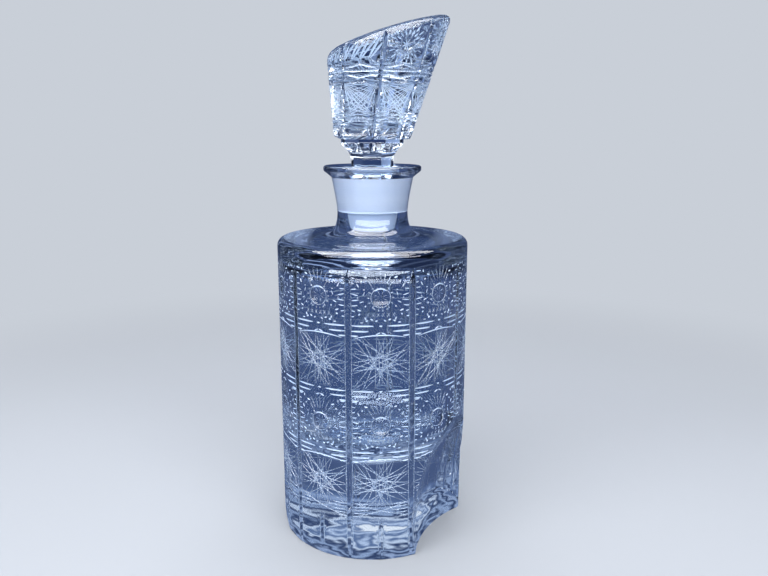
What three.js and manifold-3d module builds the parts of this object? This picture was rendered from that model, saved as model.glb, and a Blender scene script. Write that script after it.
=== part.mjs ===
// A cut-crystal whisky decanter with its ground-in stopper.
// Millimetres, +Z up. The origin is the middle of the foot, on the surface that the decanter stands on.
// The photographed side looks along -Y, and the stopper leans towards +X.
// Two pieces of glass: the bottle, and the stopper with its head, stem and ground plug.
import * as THREE from "three";
import { mergeVertices } from "three/addons/utils/BufferGeometryUtils.js";
import Module from "manifold-3d";

const wasm = await Module();
wasm.setup();

const rad = THREE.MathUtils.degToRad;

// Body of the bottle
const bodyRadius = 49;
const bodyHeight = 156.3; // surface to the edge of the shoulder
const shoulderEdge = 4; // rounding between wall and shoulder
const shoulderSweep = 82; // degrees of the rounding before the shoulder's own slope
const shoulderRise = 1; // how far the shoulder climbs to the foot of the neck
const footEdge = 1.2; // small bevel round the underside
const roundSides = 60; // facets round the body: six to a panel

// Ground joint between plug and neck
const plugTopRadius = 14.75;
const plugLength = 29;
const plugTaper = 0.1; // radius lost per millimetre of depth
const plugSink = 5.3; // top of the plug under the top of the lip
const plugBevel = 0.8;
const jointGap = 0.25; // running clearance between the ground faces
const groundLength = 17; // ground part of the neck, below the top of the plug
const boreRelief = 0.9; // step out to the clear bore under the ground part
const mouthBevel = 1.6;

// Neck and lip
const neckHeight = 35; // shoulder to the top of the lip
const waistRise = 12.2; // shoulder to the waist of the neck
const neckWall = 3.8; // glass round the clear bore at the waist
const neckTopWall = 5.8; // glass round the ground part, just under the lip
const neckFlare = 7; // sweep from the shoulder into the neck
const waistHold = 0.2; // share of the way up from the waist before the neck widens
const lipOverhang = 4.1;
const lipThickness = 5.8; // where it leaves the neck
const lipEdge = 3.1; // height of its outer edge
const lipRounding = 1.1;
const lipUndercut = 60; // degrees of the rounding under the edge

// Hollow inside
const wall = 9;
const baseThickness = 42; // solid glass under the hollow
const hollowFloorRound = 28;
const hollowShoulderRound = 14;
const hollowShoulderSweep = 80; // degrees of that rounding
const shoulderThickness = 6.5;
const hollowSides = 40; // facets of the hollow and of the plug that fits it

// Cuts in the wall, panel by panel
const panels = 10;
const bottleTurn = 4.3; // degrees that the photograph shows the bottle turned
const cutMargin = 8.8; // clear glass between the cuts and the shoulder's edge
const mitreWidth = 2.8; // the upright grooves between the panels
const mitreDepth = 1.4;
const bandFoot = 27; // middle of the lowest band of level cuts
const squareHeights = [28.3, 31.1, 32, 29.1]; // squares up a panel, band to band
const bandPitch = 2.6;
const bandCuts = 3;
const bandDepth = 1.3; // of the middle cut
const bandFade = 0.3; // share of the depth that the next cuts of a band lose
const lensRadius = 4.7;
const lensDepth = 0.9;
const starLines = 4;
const starReach = 11.5;
const starDepth = 0.8;
const cutSlope = 1.5; // width of a fine cut against its depth

// Foot: flat facets, two to a panel, with a short groove between them
const footHeight = 13;
const footInset = 1.1; // how far the facets lean in at the surface
const footGrooveHeight = 23;
const footGrooveWidth = 2;
const footGrooveDepth = 1;

// The scoop, a hollow that a large round-edged wheel leaves low on one side
const scoopAzimuth = 56; // degrees from the middle of the front panel, towards +X
const scoopDepth = 16.5;
const scoopAxle = 16; // height of the wheel's axle
const scoopWheel = 85; // radius of the wheel
const scoopEdge = 69; // radius of the wheel's rounded edge
const scoopHalfWidth = 36; // half the thickness of the wheel
const scoopSides = 60; // facets round the wheel
const scoopSteps = 5; // facets across its edge

// Stopper: stem and collar
const stemRadius = 10.6; // to the flat sides of the eight-sided stem and collar
const stemHeight = 3; // lip to the sweep under the collar
const sweepHeight = 7.7;
const sweepHold = 0.4; // share of the sweep's height before it widens
const collarRadius = 15.5;
const collarHeight = 2.3;

// Stopper: head
const headBevel = 1.7;
const footShift = 1.4; // the head's foot stands out towards +X by this
const headRadius = 19.2; // at the foot of the head
const headFlare = 0.208; // radius gained per millimetre of height
const headLean = 0.13; // sideways step per millimetre of height
const headHeight = 50.3; // at the middle of the slanted top
const topSlope = 0.31; // rise of the slanted top per millimetre towards +X
const topRound = 3.6; // rounding between the wall and the slanted top
const headSides = 40;

// Stopper: cuts in the head
const headPanels = 8;
const headMitreWidth = 2.4;
const headMitreDepth = 1.2;
const headBandRise = 8.5; // lower band, above the foot of the head
const headBandDrop = 7.7; // upper band, under the low side of the slanted top
const headBandPitch = 3.4;
const headBandCuts = 2;
const headBandDepth = 0.85;
const headBandReach = 7.5;
const headLensRadius = 3.6;
const headLensDepth = 0.8;
const headLensDrop = 9; // below the slanted top
const headStarRise = 20.2;
const headStarLines = 3;
const headStarReach = 6;
const headStarDepth = 0.7;
const thumbRise = 3.3; // oval hollows round the foot of the head
const thumbWidth = 10.5;
const thumbTall = 4.6;
const thumbDepth = 0.9;

const clear = 2; // how far cutters stand out of the glass
const overlap = 1; // how far joined parts of one glass run into each other
const weldTolerance = 1e-4;

// Heights and radii that follow from these
const shoulderTop = bodyHeight + shoulderRise;
const lipTop = shoulderTop + neckHeight;
const lipBottom = lipTop - lipThickness;
const neckWaist = shoulderTop + waistRise;
const cutTop = bodyHeight - cutMargin;
const plugTop = lipTop - plugSink;
const groundBottom = plugTop - groundLength;
const boreRadius = socketRadius(groundBottom) + boreRelief;
const neckRadius = boreRadius + neckWall;
const neckTopRadius = socketRadius(lipBottom) + neckTopWall;
const lipRadius = neckTopRadius + lipOverhang;
const stemTop = lipTop + stemHeight;
const collarBottom = stemTop + sweepHeight;
const headBottom = collarBottom + collarHeight;
const panelTurn = rad(360 / panels);
const headPanelTurn = rad(360 / headPanels);

// The plug's taper, set off by the running clearance.
function socketRadius(height) {
  return plugTopRadius + jointGap - plugTaper * (plugTop - height);
}

// Shared corners are joined, and faces that shrank to a line at the axis are dropped.
function welded(geometry) {
  const bare = geometry.index ? geometry.toNonIndexed() : geometry.clone();
  const shell = new THREE.BufferGeometry();
  shell.setAttribute("position", bare.getAttribute("position"));
  const merged = mergeVertices(shell, weldTolerance);
  const corners = merged.index.array;
  const kept = [];
  for (let i = 0; i < corners.length; i += 3) {
    const [a, b, c] = corners.slice(i, i + 3);
    if (a !== b && b !== c && c !== a) kept.push(a, b, c);
  }
  return merged.setIndex(kept);
}

// A welded geometry as a solid that can be joined and cut.
function solidFrom(geometry) {
  return new wasm.Manifold(
    new wasm.Mesh({
      numProp: 3,
      vertProperties: geometry.attributes.position.array,
      triVerts: new Uint32Array(geometry.index.array),
    }),
  );
}

function geometryFrom(solid) {
  const mesh = solid.getMesh();
  const geometry = new THREE.BufferGeometry();
  geometry.setAttribute("position", new THREE.BufferAttribute(mesh.vertProperties, 3));
  geometry.setIndex(new THREE.BufferAttribute(mesh.triVerts, 1));
  geometry.computeVertexNormals();
  return geometry;
}

// A profile of (radius, height) turned about Z.
function turned(profile, sides, roundSteps = 3) {
  const points = profile instanceof THREE.Path ? profile.getPoints(roundSteps) : profile;
  return welded(new THREE.LatheGeometry(points, sides)).rotateX(Math.PI / 2);
}

// A body through rings of points of equal count, closed with a fan at each end.
function lofted(rings, bottomCentre, topCentre) {
  const count = rings[0].length;
  const corners = [];
  const face = (...points) => points.forEach((p) => corners.push(p.x, p.y, p.z));
  for (let i = 0; i < count; i += 1) {
    const j = (i + 1) % count;
    face(bottomCentre, rings[0][j], rings[0][i]);
    for (let k = 1; k < rings.length; k += 1) {
      face(rings[k - 1][i], rings[k - 1][j], rings[k][j]);
      face(rings[k - 1][i], rings[k][j], rings[k][i]);
    }
    const top = rings[rings.length - 1];
    face(top[i], top[j], topCentre);
  }
  const geometry = new THREE.BufferGeometry();
  geometry.setAttribute("position", new THREE.Float32BufferAttribute(corners, 3));
  return welded(geometry);
}

// Walls that are cut: how wide they are, and where their middle is, at each height.
const bodyWall = { foot: 0, radius: bodyRadius, flare: 0, lean: 0 };
const headWall = { foot: headBottom, radius: headRadius, flare: headFlare, lean: headLean };

// A point on a wall. Azimuth 0 faces -Y, and 90 degrees faces +X.
function onWall(face, azimuth, height) {
  const up = height - face.foot;
  const radius = face.radius + face.flare * up;
  const x = face.lean * up + radius * Math.sin(azimuth);
  return new THREE.Vector3(x, -radius * Math.cos(azimuth), height);
}

// The placing of a cutter on a wall: its Y points out of the glass, and its Z runs along the
// cut, which is turned by the angle away from level.
function cutFrame(face, azimuth, height, angle) {
  const here = onWall(face, azimuth, height);
  const level = new THREE.Vector3(Math.cos(azimuth), Math.sin(azimuth), 0);
  const rise = onWall(face, azimuth, height + 1).sub(here).normalize();
  const outward = new THREE.Vector3().crossVectors(level, rise).normalize();
  const upright = new THREE.Vector3().crossVectors(outward, level);
  const along = level.multiplyScalar(Math.cos(angle)).addScaledVector(upright, Math.sin(angle));
  const across = new THREE.Vector3().crossVectors(outward, along);
  return new THREE.Matrix4().makeBasis(across, outward, along).setPosition(here);
}

// A straight V-edged cutter: its edge lies a depth under the surface, along Z.
function mitreCutter(width, depth, reach) {
  const flank = ((width / 2) * (depth + clear)) / depth;
  const outline = new THREE.Shape();
  outline.moveTo(0, -depth);
  outline.lineTo(flank, clear);
  outline.lineTo(-flank, clear);
  outline.closePath();
  const blade = new THREE.ExtrudeGeometry(outline, { depth: 2 * reach, bevelEnabled: false });
  return welded(blade).translate(0, 0, -reach);
}

// A round-faced cutter that leaves a lens-shaped hollow of a given radius and depth.
function lensCutter(radius, depth, sides = 8) {
  const ball = (radius * radius + depth * depth) / (2 * depth);
  const rim = Math.sqrt(ball * ball - (ball - depth - clear) ** 2);
  const sweep = Math.asin(rim / ball);
  const outline = new THREE.Path();
  outline.absarc(0, ball - depth, ball, -Math.PI / 2, -Math.PI / 2 + sweep, false);
  outline.lineTo(0, clear);
  return welded(new THREE.LatheGeometry(outline.getPoints(1), sides));
}

function placed(geometry, frame) {
  return solidFrom(geometry.clone().applyMatrix4(frame));
}

function joined(solids) {
  return wasm.Manifold.union(solids);
}

// The same cutter once to each step round a wall, at one height and angle.
function ringOfCuts(cutter, face, { turn, first = 0, height, angle = 0 }) {
  const count = Math.round((2 * Math.PI) / turn);
  const cutters = [];
  for (let i = 0; i < count; i += 1) {
    const azimuth = first + turn * i;
    const level = typeof height === "function" ? height(azimuth) : height;
    cutters.push(placed(cutter, cutFrame(face, azimuth, level, angle)));
  }
  return cutters;
}

// The middles of the bands of level cuts, from the lowest up. The squares between them share
// the wall up to the top of the cuts in the proportions of their own heights.
function bandMiddles() {
  const total = squareHeights.reduce((sum, height) => sum + height, 0);
  const stretch = (cutTop - bandFoot) / total;
  const middles = [bandFoot];
  for (const height of squareHeights) middles.push(middles.at(-1) + stretch * height);
  return middles.slice(0, -1);
}

// The middle of each square, from the lowest up.
function squareMiddles() {
  const edges = [...bandMiddles(), cutTop];
  return edges.slice(1).map((edge, i) => (edge + edges[i]) / 2);
}

// The upright grooves between the panels, from under the shoulder out through the foot.
function uprightMitres() {
  const reach = (cutTop + clear) / 2;
  const cutter = mitreCutter(mitreWidth, mitreDepth, reach);
  const place = { turn: panelTurn, first: panelTurn / 2, height: cutTop - reach, angle: rad(90) };
  return joined(ringOfCuts(cutter, bodyWall, place));
}

// Bands of level cuts that start from each upright groove and fade out along the panel. The
// outer cuts of a band are shallower, so they are shorter.
function levelBands() {
  const cutters = [];
  for (const middle of bandMiddles()) {
    for (let k = 0; k < bandCuts; k += 1) {
      const step = k - (bandCuts - 1) / 2;
      const depth = bandDepth * (1 - bandFade * Math.abs(step));
      const runOut = Math.sqrt(2 * bodyRadius * depth) + clear;
      const cutter = mitreCutter(cutSlope * depth, depth, runOut);
      const height = middle + step * bandPitch;
      const place = { turn: panelTurn, first: panelTurn / 2, height };
      cutters.push(...ringOfCuts(cutter, bodyWall, place));
    }
  }
  return joined(cutters);
}

// Squares with a round lens and squares with a star of crossing straight cuts take turns up
// each panel. A star is in the lowest square.
function squareCuts() {
  const lens = lensCutter(lensRadius, lensDepth);
  const ray = mitreCutter(cutSlope * starDepth, starDepth, starReach);
  const cutters = [];
  squareMiddles().forEach((height, row) => {
    if (row % 2 === 1) {
      cutters.push(...ringOfCuts(lens, bodyWall, { turn: panelTurn, height }));
      return;
    }
    for (let k = 0; k < starLines; k += 1) {
      const angle = (Math.PI * (k + 0.5)) / starLines;
      cutters.push(...ringOfCuts(ray, bodyWall, { turn: panelTurn, height, angle }));
    }
  });
  return joined(cutters);
}

// What the foot keeps: a prism with two flat facets to each panel, which lean in as they come
// down to the surface.
function footFacets() {
  const sides = 2 * panels;
  const corner = 1 / Math.cos(Math.PI / sides);
  const slope = footInset / footHeight;
  const flatAt = (height) => bodyRadius + slope * (height - footHeight);
  const top = lipTop + clear;
  const outline = new THREE.Path();
  outline.moveTo(0, -clear);
  outline.lineTo(flatAt(-clear) * corner, -clear);
  outline.lineTo(flatAt(top) * corner, top);
  outline.lineTo(0, top);
  return solidFrom(turned(outline, sides));
}

function footGrooves() {
  const reach = (footGrooveHeight + clear) / 2;
  const cutter = mitreCutter(footGrooveWidth, footGrooveDepth, reach);
  const place = { turn: panelTurn, height: footGrooveHeight - reach, angle: rad(90) };
  return joined(ringOfCuts(cutter, bodyWall, place));
}

// The wheel that leaves the scoop: a disc with a rounded edge on a level axle.
function scoopCutter() {
  const edgeMiddle = scoopWheel - scoopEdge;
  const sweep = Math.asin(scoopHalfWidth / scoopEdge);
  const edge = new THREE.Path();
  edge.moveTo(0, -scoopHalfWidth);
  edge.lineTo(edgeMiddle, -scoopHalfWidth);
  edge.absarc(edgeMiddle, 0, scoopEdge, -sweep, sweep, false);
  edge.lineTo(0, scoopHalfWidth);
  const wheel = welded(new THREE.LatheGeometry(edge.getPoints(scoopSteps), scoopSides));
  wheel.rotateZ(rad(90)).translate(0, -(bodyRadius - scoopDepth + scoopWheel), scoopAxle);
  return solidFrom(wheel.rotateZ(rad(scoopAzimuth)));
}

// Foot, wall, low shoulder, waisted neck and flat lip with a rounded edge.
function bottleOutside() {
  const edgeMiddle = bodyRadius - shoulderEdge;
  const wallTop = bodyHeight - shoulderEdge;
  const neckFoot = neckRadius + neckFlare;
  const waistTop = neckWaist + waistHold * (lipBottom - neckWaist);
  const lipMiddle = lipRadius - lipRounding;
  const lipCorner = lipTop - lipEdge + lipRounding;
  const outline = new THREE.Path();
  outline.moveTo(0, 0);
  outline.lineTo(bodyRadius - footEdge, 0);
  outline.lineTo(bodyRadius, footEdge);
  outline.lineTo(bodyRadius, wallTop);
  outline.absarc(edgeMiddle, wallTop, shoulderEdge, 0, rad(shoulderSweep), false);
  outline.quadraticCurveTo((edgeMiddle + neckFoot) / 2, shoulderTop, neckFoot, shoulderTop);
  outline.quadraticCurveTo(neckRadius, shoulderTop, neckRadius, neckWaist);
  outline.quadraticCurveTo(neckRadius, waistTop, neckTopRadius, lipBottom);
  outline.absarc(lipMiddle, lipCorner, lipRounding, -rad(lipUndercut), 0, false);
  outline.absarc(lipMiddle, lipTop - lipRounding, lipRounding, 0, rad(90), false);
  outline.lineTo(0, lipTop);
  return solidFrom(turned(outline, roundSides));
}

// Rounded floor, straight wall and domed shoulder of the hollow, then the clear bore of the
// neck, the ground part that takes the plug, and the bevelled mouth.
function bottleHollow() {
  const ceiling = shoulderTop - shoulderThickness;
  const insideRadius = bodyRadius - wall;
  const floorMiddle = insideRadius - hollowFloorRound;
  const roofMiddle = insideRadius - hollowShoulderRound;
  const mouth = lipTop - mouthBevel;
  const mouthRadius = socketRadius(mouth) + mouthBevel;
  const outline = new THREE.Path();
  outline.moveTo(0, baseThickness);
  outline.lineTo(floorMiddle, baseThickness);
  const floorArc = baseThickness + hollowFloorRound;
  outline.absarc(floorMiddle, floorArc, hollowFloorRound, -rad(90), 0, false);
  const roofArc = ceiling - hollowShoulderRound;
  const roofSweep = rad(hollowShoulderSweep);
  outline.absarc(roofMiddle, roofArc, hollowShoulderRound, 0, roofSweep, false);
  outline.quadraticCurveTo(boreRadius, ceiling, boreRadius, shoulderTop);
  outline.lineTo(boreRadius, groundBottom - boreRelief);
  outline.lineTo(socketRadius(groundBottom), groundBottom);
  outline.lineTo(socketRadius(mouth), mouth);
  outline.lineTo(mouthRadius, lipTop);
  outline.lineTo(mouthRadius, lipTop + clear);
  outline.lineTo(0, lipTop + clear);
  return solidFrom(turned(outline, hollowSides, 2));
}

function bottle() {
  const blank = bottleOutside().intersect(footFacets());
  const cuts = joined([
    bottleHollow(),
    scoopCutter(),
    uprightMitres(),
    levelBands(),
    squareCuts(),
    footGrooves(),
  ]);
  return geometryFrom(blank.subtract(cuts));
}

// Height of the slanted top over a point of the head.
function slantHeight(x) {
  return headBottom + headHeight + topSlope * (x - headLean * headHeight);
}

// Where an upright line of the head's wall meets the slanted top.
function slantEdge(azimuth) {
  const step = headLean + headFlare * Math.sin(azimuth);
  const foot = headRadius * Math.sin(azimuth);
  return headBottom + (slantHeight(foot) - headBottom) / (1 - topSlope * step);
}

// The head leans as it widens, and its edge is rounded where wall and slanted top meet.
function headBlank() {
  const rings = [];
  const addRing = (pointAt) => {
    const points = [];
    for (let i = 0; i < headSides; i += 1) points.push(pointAt((2 * Math.PI * i) / headSides));
    rings.push(points);
  };
  const bottom = new THREE.Vector3(footShift, 0, headBottom);
  const top = new THREE.Vector3(headLean * headHeight, 0, headBottom + headHeight);
  const footRing = { ...headWall, radius: headRadius - headBevel };
  const foot = new THREE.Vector3(footShift, 0, 0);
  addRing((azimuth) => onWall(footRing, azimuth, headBottom).add(foot));
  addRing((azimuth) => onWall(headWall, azimuth, headBottom + headBevel));
  const roundSteps = 3;
  for (let k = 0; k <= roundSteps; k += 1) {
    addRing((azimuth) => {
      const corner = onWall(headWall, azimuth, slantEdge(azimuth));
      const below = onWall(headWall, azimuth, slantEdge(azimuth) - topRound);
      const inward = top.clone().sub(corner).setLength(topRound).add(corner);
      return new THREE.QuadraticBezierCurve3(below, corner, inward).getPoint(k / roundSteps);
    });
  }
  return solidFrom(lofted(rings, bottom, top));
}

function headMitres() {
  const cutter = mitreCutter(headMitreWidth, headMitreDepth, headHeight);
  const height = headBottom + headHeight / 2;
  const place = { turn: headPanelTurn, height, angle: rad(90) };
  return joined(ringOfCuts(cutter, headWall, place));
}

// Two bands of level cuts across the grooves notch the head's outline.
function headLevelCuts() {
  const cutter = mitreCutter(2 * headBandDepth, headBandDepth, headBandReach);
  const cutters = [];
  for (const middle of [headBottom + headBandRise, slantEdge(-rad(90)) - headBandDrop]) {
    for (let k = 0; k < headBandCuts; k += 1) {
      const height = middle + (k - (headBandCuts - 1) / 2) * headBandPitch;
      cutters.push(...ringOfCuts(cutter, headWall, { turn: headPanelTurn, height }));
    }
  }
  return joined(cutters);
}

// Each panel of the head has a lens under the slanted top, a star in its middle and an oval
// hollow at its foot.
function headPanelCuts() {
  const lens = lensCutter(headLensRadius, headLensDepth);
  const ray = mitreCutter(cutSlope * headStarDepth, headStarDepth, headStarReach);
  const thumb = lensCutter(thumbWidth / 2, thumbDepth).scale(thumbTall / thumbWidth, 1, 1);
  const middles = { turn: headPanelTurn, first: headPanelTurn / 2 };
  const lensHeight = (azimuth) => slantEdge(azimuth) - headLensDrop;
  const cutters = [
    ...ringOfCuts(lens, headWall, { ...middles, height: lensHeight }),
    ...ringOfCuts(thumb, headWall, { ...middles, height: headBottom + thumbRise }),
  ];
  for (let k = 0; k < headStarLines; k += 1) {
    const angle = (Math.PI * (k + 0.5)) / headStarLines;
    const place = { ...middles, height: headBottom + headStarRise, angle };
    cutters.push(...ringOfCuts(ray, headWall, place));
  }
  return joined(cutters);
}

// Eight-sided stem that sweeps out to the collar, with a flat side to the front. It runs a
// little into the head.
function collar() {
  const corner = 1 / Math.cos(Math.PI / headPanels);
  const stem = corner * stemRadius;
  const edge = corner * collarRadius;
  const top = headBottom + overlap;
  const outline = new THREE.Path();
  outline.moveTo(0, lipTop);
  outline.lineTo(stem, lipTop);
  outline.lineTo(stem, stemTop);
  outline.quadraticCurveTo(stem, stemTop + sweepHold * sweepHeight, edge, collarBottom);
  outline.lineTo(edge, top);
  outline.lineTo(0, top);
  return solidFrom(turned(outline, headPanels, 4).rotateZ(Math.PI / headPanels));
}

// Tapered plug with a bevelled end, drawn in to the stem above it.
function plug() {
  const plugBottom = plugTop - plugLength;
  const endRadius = plugTopRadius - plugTaper * plugLength;
  const outline = new THREE.Path();
  outline.moveTo(0, plugBottom);
  outline.lineTo(endRadius - plugBevel, plugBottom);
  outline.lineTo(endRadius + plugTaper * plugBevel, plugBottom + plugBevel);
  outline.lineTo(plugTopRadius, plugTop);
  outline.quadraticCurveTo(stemRadius, plugTop, stemRadius, (plugTop + lipTop) / 2);
  outline.lineTo(stemRadius, lipTop + overlap);
  outline.lineTo(0, lipTop + overlap);
  return solidFrom(turned(outline, hollowSides));
}

function stopper() {
  const head = headBlank().subtract(joined([headMitres(), headLevelCuts(), headPanelCuts()]));
  return geometryFrom(joined([head, collar(), plug()]));
}

function glass(name, geometry) {
  const material = new THREE.MeshStandardMaterial({
    color: 0xc9d6ea,
    roughness: 0.05,
    metalness: 0,
    transparent: true,
    opacity: 0.4,
  });
  const mesh = new THREE.Mesh(geometry, material);
  mesh.name = name;
  return mesh;
}

const decanter = new THREE.Group();
const bottleMesh = glass("bottle", bottle());
bottleMesh.rotation.z = rad(bottleTurn);
decanter.add(bottleMesh);
decanter.add(glass("stopper", stopper()));

export default decanter;
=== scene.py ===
"""Looks of a cut-crystal whisky decanter: the bottle with its scooped foot, and its stopper.

Pieces are modelled in millimetres and brought to metres at the end. Patterns of cuts are laid
out flat, x along the wall and z up it with the glass on the +y side, then bent round the wall.
"""

import logging
import math
from collections.abc import Callable, Iterable, Iterator, Sequence
from contextlib import contextmanager
from dataclasses import dataclass, replace
from enum import Enum, IntEnum
from typing import Any

import bpy
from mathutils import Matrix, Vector


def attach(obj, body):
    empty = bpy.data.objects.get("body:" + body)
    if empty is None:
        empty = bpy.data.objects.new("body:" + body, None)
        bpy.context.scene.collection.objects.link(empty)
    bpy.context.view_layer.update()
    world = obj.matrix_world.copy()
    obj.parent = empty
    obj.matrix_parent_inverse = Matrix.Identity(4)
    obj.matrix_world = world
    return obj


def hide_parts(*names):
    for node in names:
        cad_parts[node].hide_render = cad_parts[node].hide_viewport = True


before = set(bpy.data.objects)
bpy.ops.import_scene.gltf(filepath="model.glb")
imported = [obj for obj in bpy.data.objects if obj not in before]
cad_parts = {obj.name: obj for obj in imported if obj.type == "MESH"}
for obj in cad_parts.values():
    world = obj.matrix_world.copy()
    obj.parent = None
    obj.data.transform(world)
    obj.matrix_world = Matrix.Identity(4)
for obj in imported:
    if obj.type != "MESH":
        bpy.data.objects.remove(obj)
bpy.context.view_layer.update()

log = logging.getLogger("decanter")
Piece = bpy.types.Object
Point = tuple[float, float]  # x and z on a flat layout, or radius and height in an outline
Pair = tuple[float, float]

MM = 0.001
V_SIDES = 4  # a four-sided tool on its edge cuts a V
IOR_LEAD_CRYSTAL = 1.545  # 24 percent lead oxide
NOISE_SPREAD = (0.3, 0.7)  # nearly all of a noise texture's values lie between these
LEVEL = 0.9  # a face counts as level when its normal's upright part is past this
SMOOTH_BELOW = 24  # degrees between two faces that are shaded as one


class Surface(IntEnum):
    """How a face of the glass was finished. The value is its material slot on each piece."""

    POLISHED = 0
    FINE_CUT = 1
    BOLD_CUT = 2
    GROUND = 3


class Joining(Enum):
    """What a solid does to the piece that it meets."""

    CUT = "DIFFERENCE"
    UNITE = "UNION"
    TRIM = "INTERSECT"


# The bench: moves that every piece is made with


def only(piece: Piece) -> None:
    """Selects one piece and makes it active.

    Args:
        piece: the piece to select.
    """
    bpy.ops.object.select_all(action="DESELECT")
    piece.select_set(True)
    bpy.context.view_layer.objects.active = piece


@contextmanager
def editing(
    piece: Piece, chosen: Callable[[Any], bool] | None = None, edges: bool = False
) -> Iterator[None]:
    """Opens a piece in edit mode with some of it selected, and closes it again.

    Args:
        piece: the piece to edit.
        chosen: tells which faces or edges are selected. None selects all.
        edges: whether edges are selected, and not faces.

    Yields:
        Nothing. The piece is in edit mode meanwhile.
    """
    only(piece)
    mesh = piece.data
    parts = mesh.edges if edges else mesh.polygons
    picks = [chosen is None or chosen(part) for part in parts]
    for group in (mesh.vertices, mesh.edges, mesh.polygons):
        group.foreach_set("select", [False] * len(group))
    parts.foreach_set("select", picks)
    bpy.context.tool_settings.mesh_select_mode = (False, edges, not edges)
    bpy.ops.object.mode_set(mode="EDIT")
    bpy.ops.mesh.select_mode(type="EDGE" if edges else "FACE")
    try:
        yield
    finally:
        bpy.ops.object.mode_set(mode="OBJECT")


def settle(piece: Piece) -> Piece:
    """Puts a piece's place, turn and size into its mesh.

    Args:
        piece: the piece to settle.

    Returns:
        The same piece, with its object at the origin.
    """
    only(piece)
    bpy.ops.object.transform_apply(location=True, rotation=True, scale=True)
    return piece


def finish_faces(
    piece: Piece,
    surface: Surface,
    low: float = -math.inf,
    high: float = math.inf,
    within: float = math.inf,
) -> None:
    """Gives a finish to the faces whose middle lies in a drum about the axis.

    Args:
        piece: the piece to dress.
        surface: the finish.
        low: height of the drum's underside, in millimetres.
        high: height of its top.
        within: its radius.
    """
    for face in piece.data.polygons:
        middle = face.center
        if low <= middle.z <= high and math.hypot(middle.x, middle.y) <= within:
            face.material_index = surface


def dress(piece: Piece, surface: Surface, materials: Sequence[bpy.types.Material]) -> Piece:
    """Gives a piece the slots of every finish and sets all its faces to one of them.

    Args:
        piece: the piece to dress.
        surface: the finish of its faces.
        materials: the glass finishes, in slot order.

    Returns:
        The same piece.
    """
    piece.data.materials.clear()
    for material in materials:
        piece.data.materials.append(material)
    finish_faces(piece, surface)
    return piece


def lathe(profile: Sequence[Point], sides: int) -> Piece:
    """Turns a closed solid by extruding a disc ring by ring along a profile.

    Args:
        profile: radius and height of each ring, from the underside on.
        sides: facets round the axis.

    Returns:
        The solid. Its first ring and its last are capped.
    """
    radius, height = profile[0]
    bpy.ops.mesh.primitive_circle_add(
        vertices=sides, radius=radius, fill_type="NGON", location=(0, 0, height)
    )
    piece = settle(bpy.context.object)
    with editing(piece):
        for next_radius, next_height in profile[1:]:
            lift = {"value": (0, 0, next_height - height)}
            bpy.ops.mesh.extrude_region_move(TRANSFORM_OT_translate=lift)
            grow = next_radius / radius
            bpy.ops.transform.resize(value=(grow, grow, 1), center_override=(0, 0, next_height))
            radius, height = next_radius, next_height
        bpy.ops.mesh.select_all(action="SELECT")
        bpy.ops.mesh.normals_make_consistent(inside=False)
    return piece


def arc(middle: Point, radius: float, start: float, end: float, steps: int) -> list[Point]:
    """Gives the points of an arc in a profile.

    Args:
        middle: middle of the arc, as radius and height.
        radius: radius of the arc.
        start: first angle, in degrees from straight out.
        end: last angle.
        steps: spans between the points.

    Returns:
        The points, with both ends.
    """
    turns = [math.radians(start + (end - start) * k / steps) for k in range(steps + 1)]
    return [(middle[0] + radius * math.cos(t), middle[1] + radius * math.sin(t)) for t in turns]


def sweep(start: Point, pull: Point, end: Point, steps: int) -> list[Point]:
    """Gives the points of a curve that leaves one point and meets another, pulled by a third.

    Args:
        start: first point.
        pull: point that bends the curve.
        end: last point.
        steps: spans between the points.

    Returns:
        The points after the first, with the last.
    """
    points = []
    for k in range(1, steps + 1):
        t = k / steps
        weights = ((1 - t) ** 2, 2 * t * (1 - t), t * t)
        trio = (start, pull, end)
        points.append(tuple(sum(w * p[i] for w, p in zip(weights, trio)) for i in (0, 1)))
    return points


def combine(piece: Piece, tool: Piece, joining: Joining = Joining.CUT) -> Piece:
    """Works on a piece with a tool, which is used up.

    Args:
        piece: the piece that stays.
        tool: the closed solid that works on it.
        joining: what the tool does to the piece.

    Returns:
        The piece.
    """
    only(piece)
    modifier = piece.modifiers.new("joining", "BOOLEAN")
    modifier.operation = joining.value
    modifier.solver = "MANIFOLD"
    modifier.object = tool
    bpy.ops.object.modifier_apply(modifier=modifier.name)
    bpy.data.objects.remove(tool)
    return piece


def united(solids: Sequence[Piece]) -> Piece:
    """Unites solids that cross into one closed solid.

    Args:
        solids: the solids, which are used up.

    Returns:
        The united solid.
    """
    whole = solids[0]
    for solid in solids[1:]:
        combine(whole, solid, Joining.UNITE)
    return whole


def ring_of(tool: Piece, azimuths: Iterable[float]) -> Piece:
    """Copies a tool round the axis and joins the copies, which don't touch.

    Args:
        tool: the tool at azimuth 0, which faces -Y. It is used up.
        azimuths: degrees from -Y towards +X, one for each copy.

    Returns:
        The joined copies.
    """
    copies: list[Piece] = []
    for azimuth in azimuths:
        copy = tool.copy()
        copy.data = tool.data.copy()
        bpy.context.collection.objects.link(copy)
        copy.rotation_euler = (0, 0, math.radians(azimuth))
        copies.append(copy)
    bpy.data.objects.remove(tool)
    bpy.ops.object.select_all(action="DESELECT")
    for copy in copies:
        copy.select_set(True)
    bpy.context.view_layer.objects.active = copies[0]
    bpy.ops.object.transform_apply(location=True, rotation=True, scale=True)
    if len(copies) > 1:
        bpy.ops.object.join()
    return bpy.context.object


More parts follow.
